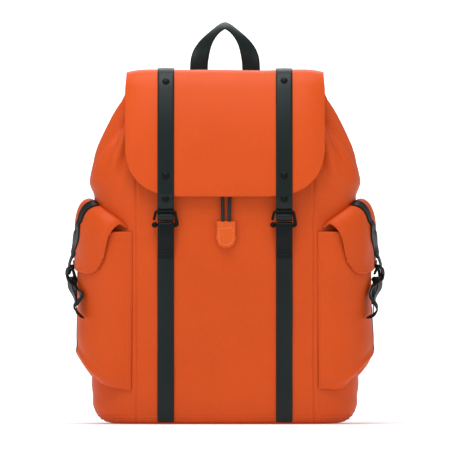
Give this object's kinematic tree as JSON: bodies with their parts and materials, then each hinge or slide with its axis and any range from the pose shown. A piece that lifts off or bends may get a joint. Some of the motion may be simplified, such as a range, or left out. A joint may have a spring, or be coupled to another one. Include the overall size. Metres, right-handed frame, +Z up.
{
  "type": "rucksack",
  "caption": "Flap-top rucksack in coated fabric with drawcord mouth, hook-fastened lid straps, side cargo pockets with strapped flaps, grab handle and padded shoulder straps.",
  "frame": {"origin": "middle of the flat underside of the base", "axes": "+Z up the bag, -Y out of its front, +Y towards the wearer's back, +X to the right seen from the front"},
  "size_m": [0.4132, 0.218, 0.5258],
  "materials": {
    "shell": "satin",
    "webbing": "matte",
    "padding": "matte",
    "cord": "matte",
    "plastic": "satin",
    "hardware": "satin"
  },
  "bodies": {
    "bag": {"front_panel": "shell", "side_panel_left": "shell", "side_panel_right": "shell", "back_panel": "shell", "base_panel": "shell", "mouth_hem_left": "shell", "mouth_hem_right": "shell", "eyelet_left": "hardware", "eyelet_right": "hardware", "lid_hinge_strip": "shell", "back_pad": "padding", "shoulder_yoke": "webbing", "drawcord_left": "cord", "drawcord_right": "cord", "cord_tab": "shell", "front_strap_left": "webbing", "front_strap_loop_left": "webbing", "side_pocket_left": "shell", "pocket_strap_left": "webbing", "pocket_strap_loop_left": "webbing", "strap_anchor_left": "shell", "front_strap_right": "webbing", "front_strap_loop_right": "webbing", "side_pocket_right": "shell", "pocket_strap_right": "webbing", "pocket_strap_loop_right": "webbing", "strap_anchor_right": "shell"},
    "lid_top": {"lid_top": "shell", "lid_strap_top_left": "webbing", "lid_strap_top_right": "webbing"},
    "lid_front": {"lid_front": "shell", "lid_strap_left": "webbing", "rivet_upper_left": "hardware", "rivet_middle_left": "hardware", "rivet_lower_left": "hardware", "lid_strap_right": "webbing", "rivet_upper_right": "hardware", "rivet_middle_right": "hardware", "rivet_lower_right": "hardware"},
    "main_hook_left": {"main_hook_left": "hardware"},
    "pocket_flap_left": {"pocket_flap_left": "shell", "pocket_flap_strap_left": "webbing", "strap_tail_left": "webbing"},
    "side_hook_left": {"side_hook_left": "hardware"},
    "shoulder_strap_left": {"shoulder_strap_left": "padding", "ladder_lock_left": "plastic", "lower_webbing_left": "webbing"},
    "main_hook_right": {"main_hook_right": "hardware"},
    "pocket_flap_right": {"pocket_flap_right": "shell", "pocket_flap_strap_right": "webbing", "strap_tail_right": "webbing"},
    "side_hook_right": {"side_hook_right": "hardware"},
    "shoulder_strap_right": {"shoulder_strap_right": "padding", "ladder_lock_right": "plastic", "lower_webbing_right": "webbing"},
    "carry_handle": {"carry_handle": "webbing"},
    "cord_lock": {"cord_lock": "plastic"},
    "cord_lock_button": {"cord_lock_button": "plastic"}
  },
  "joints": [
    {"name": "lid_hinge", "type": "hinge", "parent": "bag", "child": "lid_top", "pos_m": [0, 0.0665, 0.46], "axis": [-1, 0, 0], "range_deg": [0, 80]},
    {"name": "lid_bend", "type": "hinge", "parent": "lid_top", "child": "lid_front", "pos_m": [0, -0.0158, 0.4646], "axis": [-1, 0, 0], "range_deg": [0, 90], "deforming": ["front_strap_loop_left", "front_strap_loop_right"]},
    {"name": "main_hook_left_swing", "type": "hinge", "parent": "lid_front", "child": "main_hook_left", "pos_m": [-0.077, -0.0921, 0.2769], "axis": [-1, 0, 0], "range_deg": [0, 90]},
    {"name": "pocket_flap_left_hinge", "type": "hinge", "parent": "bag", "child": "pocket_flap_left", "pos_m": [-0.1765, 0, 0.295], "axis": [0, 1, 0], "range_deg": [0, 85], "deforming": ["pocket_strap_loop_left"]},
    {"name": "side_hook_left_swing", "type": "hinge", "parent": "pocket_flap_left", "child": "side_hook_left", "pos_m": [-0.1996, -0.007, 0.2062], "axis": [0, 1, 0], "range_deg": [0, 80], "deforming": ["strap_tail_left"]},
    {"name": "shoulder_strap_left_swing", "type": "hinge", "parent": "bag", "child": "shoulder_strap_left", "pos_m": [-0.044, 0.0795, 0.398], "axis": [1, 0, 0], "range_deg": [0, 30]},
    {"name": "main_hook_right_swing", "type": "hinge", "parent": "lid_front", "child": "main_hook_right", "pos_m": [0.077, -0.0921, 0.2769], "axis": [-1, 0, 0], "range_deg": [0, 90]},
    {"name": "pocket_flap_right_hinge", "type": "hinge", "parent": "bag", "child": "pocket_flap_right", "pos_m": [0.1765, 0, 0.295], "axis": [0, -1, 0], "range_deg": [0, 85], "deforming": ["pocket_strap_loop_right"]},
    {"name": "side_hook_right_swing", "type": "hinge", "parent": "pocket_flap_right", "child": "side_hook_right", "pos_m": [0.1996, -0.007, 0.2062], "axis": [0, -1, 0], "range_deg": [0, 80], "deforming": ["strap_tail_right"]},
    {"name": "shoulder_strap_right_swing", "type": "hinge", "parent": "bag", "child": "shoulder_strap_right", "pos_m": [0.044, 0.0795, 0.398], "axis": [1, 0, 0], "range_deg": [0, 30]},
    {"name": "handle_fold", "type": "hinge", "parent": "bag", "child": "carry_handle", "pos_m": [0, 0.0714, 0.44], "axis": [-1, 0, 0], "range_deg": [0, 80], "stiffness_Nm_per_rad": 0.05},
    {"name": "cord_lock_slide", "type": "slide", "parent": "bag", "child": "cord_lock", "axis": [0, 0.38, 0.925], "range_m": [-0.003, 0.004]},
    {"name": "cord_lock_press", "type": "slide", "parent": "cord_lock", "child": "cord_lock_button", "axis": [0, -0.38, -0.925], "range_m": [0, 0.004], "stiffness_N_per_m": 400}
  ]
}
